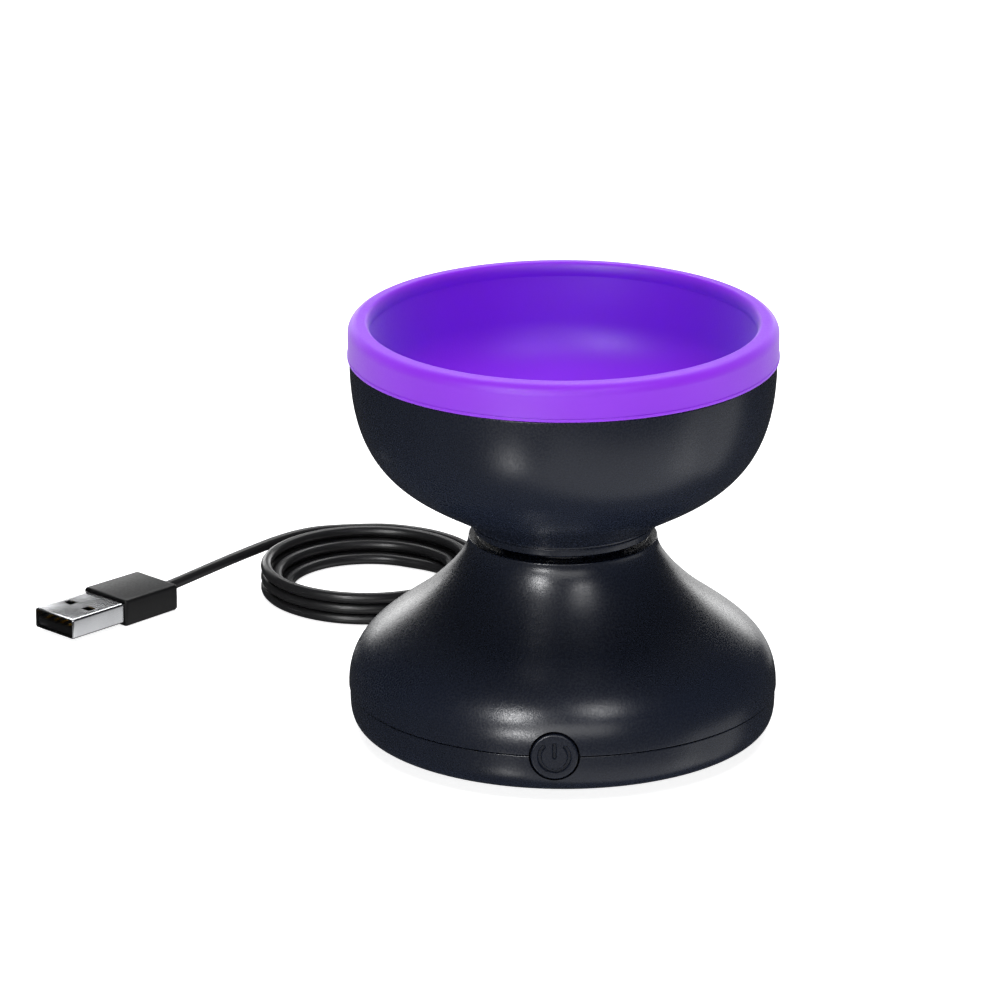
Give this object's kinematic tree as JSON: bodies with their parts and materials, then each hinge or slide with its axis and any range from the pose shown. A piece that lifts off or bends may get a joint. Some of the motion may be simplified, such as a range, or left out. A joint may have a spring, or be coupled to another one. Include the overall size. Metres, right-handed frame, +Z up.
{
  "type": "electric makeup brush cleaner",
  "caption": "Hourglass electric brush cleaner: motor base with push button and USB lead, spinning bowl and lift-out silicone liner.",
  "frame": {"origin": "middle of the base, on the surface that the rubber feet stand on", "axes": "+Z up along the bowl's spin axis; the power button faces -Y; the lead leaves the base towards +Y"},
  "size_m": [0.1603, 0.1561, 0.0889],
  "materials": {
    "navy_plastic": "satin moulded ABS with a very fine spark texture",
    "purple_silicone": "soft matt silicone, slightly translucent",
    "black_rubber": "matt",
    "black_pvc": "smooth satin cable jacket",
    "plug_black": "fine moulded texture",
    "plug_steel": "bright nickel-plated sheet",
    "gold_contact": "gold plated",
    "motor_steel": "zinc plated",
    "screw_steel": "zinc plated",
    "copper": "enamelled copper",
    "brass_tab": "tinned brass",
    "magnet": "sintered ferrite",
    "white_nylon": "natural nylon",
    "green_board": "solder mask",
    "chip_black": "moulded epoxy",
    "red_sleeve": "wire sleeve"
  },
  "bodies": {
    "base": {"base_shell": "navy_plastic", "bottom_cover": "navy_plastic", "rubber_foot_1": "black_rubber", "rubber_foot_2": "black_rubber", "rubber_foot_3": "black_rubber", "rubber_foot_4": "black_rubber", "cover_screw_1": "screw_steel", "cover_screw_2": "screw_steel", "cover_screw_3": "screw_steel", "cover_screw_4": "screw_steel", "motor_can": "motor_steel", "motor_end_cap": "white_nylon", "motor_magnet_1": "magnet", "motor_magnet_2": "magnet", "motor_terminal_1": "brass_tab", "motor_terminal_2": "brass_tab", "motor_screw_1": "screw_steel", "motor_screw_2": "screw_steel", "shaft_seal": "black_rubber", "circuit_board": "green_board", "tact_switch": "chip_black", "control_chip": "chip_black", "capacitor": "chip_black", "motor_lead_positive": "red_sleeve", "motor_lead_negative": "black_pvc", "inner_cable": "black_pvc", "strain_relief": "black_pvc", "cord_tail": "black_pvc", "cord_coil": "black_pvc", "cord_lead": "black_pvc", "plug_overmold": "plug_black", "plug_shell": "plug_steel", "plug_tongue": "plug_black", "plug_contact_1": "gold_contact", "plug_contact_2": "gold_contact", "plug_contact_3": "gold_contact", "plug_contact_4": "gold_contact"},
    "button": {"power_button": "navy_plastic", "switch_cap": "white_nylon"},
    "bowl": {"spin_bowl": "navy_plastic", "drive_hub": "white_nylon", "hub_screw_1": "screw_steel", "hub_screw_2": "screw_steel", "hub_screw_3": "screw_steel", "motor_shaft": "motor_steel", "motor_armature": "copper", "motor_commutator": "copper"},
    "liner": {"silicone_liner": "purple_silicone"}
  },
  "joints": [
    {"name": "button_press", "type": "slide", "parent": "base", "child": "button", "axis": [0, 1, 0], "range_m": [0, 0.0006], "stiffness_N_per_m": 500},
    {"name": "bowl_spin", "type": "hinge", "parent": "base", "child": "bowl", "pos_m": [0, 0, 0.0475], "axis": [0, 0, 1], "continuous": true},
    {"name": "liner_lift", "type": "slide", "parent": "bowl", "child": "liner", "axis": [0, 0, 1], "range_m": [0, 0.05]}
  ]
}
